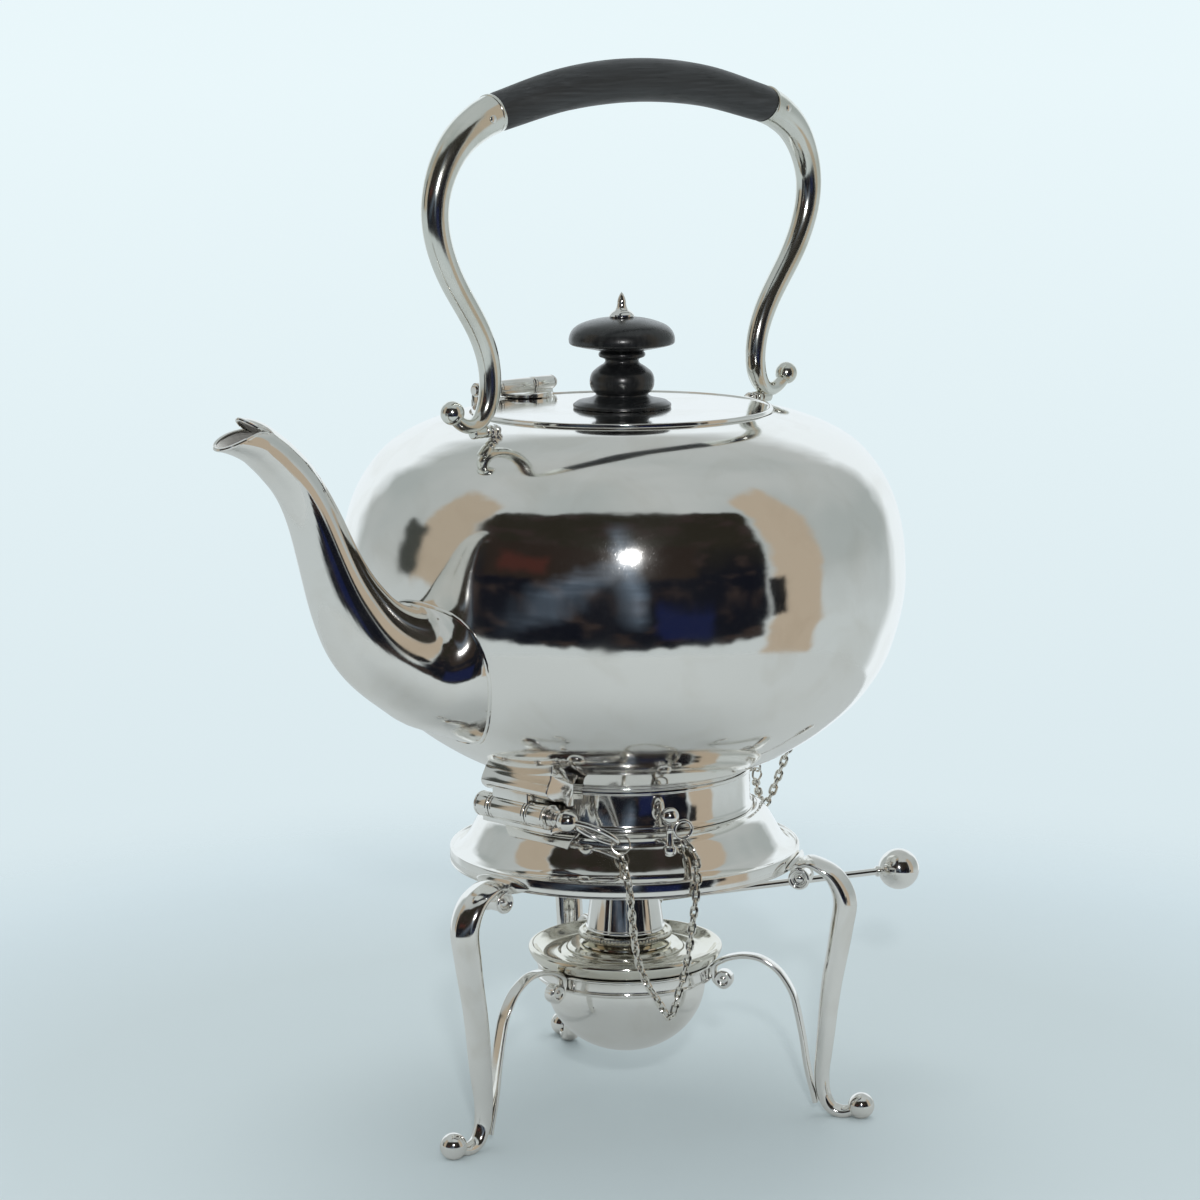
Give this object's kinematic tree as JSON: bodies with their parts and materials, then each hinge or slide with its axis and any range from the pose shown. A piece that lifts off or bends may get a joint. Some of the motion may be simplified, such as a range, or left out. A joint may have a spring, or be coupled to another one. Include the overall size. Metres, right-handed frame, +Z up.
{
  "type": "spirit kettle on stand",
  "caption": "Swing-handled spirit kettle with an S-shaped spout and hinged lid, on a cabriole-legged stand with a hanging spirit burner and chained hinge pins.",
  "frame": {"origin": "on the floor, on the vertical axis of the stand's platform and of the kettle's body", "axes": "+Z up; the spout and the front leg point to -X; the lid's hinge is at +Y, and both loose pins are drawn out towards -Y"},
  "size_m": [0.2737, 0.184, 0.3484],
  "materials": {
    "silver_plate": "polished silver plate, mirror bright, with fine wiping scratches",
    "ebonised_wood": "black stained hardwood, satin",
    "cotton": "plaited cotton, matt"
  },
  "bodies": {
    "stand": {"platform": "silver_plate", "collar": "silver_plate", "burner_ring": "silver_plate", "stand_hinge_leaf": "silver_plate", "lock_tongue": "silver_plate", "chain_eyelet": "silver_plate", "leg_front": "silver_plate", "leg_right": "silver_plate", "leg_back": "silver_plate", "brace_front": "silver_plate", "brace_right": "silver_plate", "brace_back": "silver_plate"},
    "kettle": {"kettle_body": "silver_plate", "foot_ring": "silver_plate", "spout": "silver_plate", "kettle_hinge_block": "silver_plate", "lock_ears": "silver_plate", "rear_chain_eyelet": "silver_plate", "lid_hinge_leaf": "silver_plate", "lid_hinge_pin": "silver_plate", "handle_lug_left": "silver_plate", "handle_lug_right": "silver_plate", "handle_pin_left": "silver_plate", "handle_pin_right": "silver_plate"},
    "lid": {"lid": "silver_plate", "lid_hinge_strap": "silver_plate", "lid_knob": "ebonised_wood", "knob_finial": "silver_plate", "knob_washer": "silver_plate", "knob_nut": "silver_plate"},
    "handle": {"handle_grip": "ebonised_wood", "handle_arm_left": "silver_plate", "handle_arm_right": "silver_plate", "grip_rivet_left": "silver_plate", "grip_rivet_right": "silver_plate"},
    "front_pin": {"front_pin": "silver_plate", "front_split_ring": "silver_plate", "front_chain": "silver_plate"},
    "rear_pin": {"rear_pin": "silver_plate", "rear_split_ring": "silver_plate", "rear_chain": "silver_plate"},
    "burner": {"burner_bowl": "silver_plate", "burner_dish": "silver_plate", "knurled_collar": "silver_plate", "wick_tube": "silver_plate"},
    "wick": {"wick": "cotton"},
    "regulator": {"flame_sleeve": "silver_plate", "lever_rod": "silver_plate", "lever_ball": "silver_plate"}
  },
  "joints": [
    {"name": "kettle_tilt", "type": "hinge", "parent": "stand", "child": "kettle", "pos_m": [-0.052, 0, 0.1104], "axis": [0, -1, 0], "range_deg": [0, 35]},
    {"name": "lid_hinge", "type": "hinge", "parent": "kettle", "child": "lid", "pos_m": [0.0024, 0.0526, 0.239], "axis": [-1, 0, 0], "range_deg": [0, 100]},
    {"name": "handle_swing", "type": "hinge", "parent": "kettle", "child": "handle", "pos_m": [0, -0.0022, 0.234], "axis": [1, 0, 0], "range_deg": [-64, 59]},
    {"name": "front_pin_slide", "type": "slide", "parent": "stand", "child": "front_pin", "axis": [0, -1, 0], "range_m": [0, 0.036], "deforming": ["front_chain"]},
    {"name": "rear_pin_slide", "type": "slide", "parent": "kettle", "child": "rear_pin", "axis": [0, -1, 0], "range_m": [-0.0064, 0.004], "deforming": ["rear_chain"]},
    {"name": "burner_lift", "type": "slide", "parent": "stand", "child": "burner", "axis": [0, 0, 1], "range_m": [0, 0.012]},
    {"name": "wick_raise", "type": "slide", "parent": "burner", "child": "wick", "axis": [0, 0, 1], "range_m": [0, 0.004]},
    {"name": "lever_turn", "type": "hinge", "parent": "burner", "child": "regulator", "pos_m": [0, 0, 0.0696], "axis": [0, 0, 1], "range_deg": [-30, 75]}
  ]
}
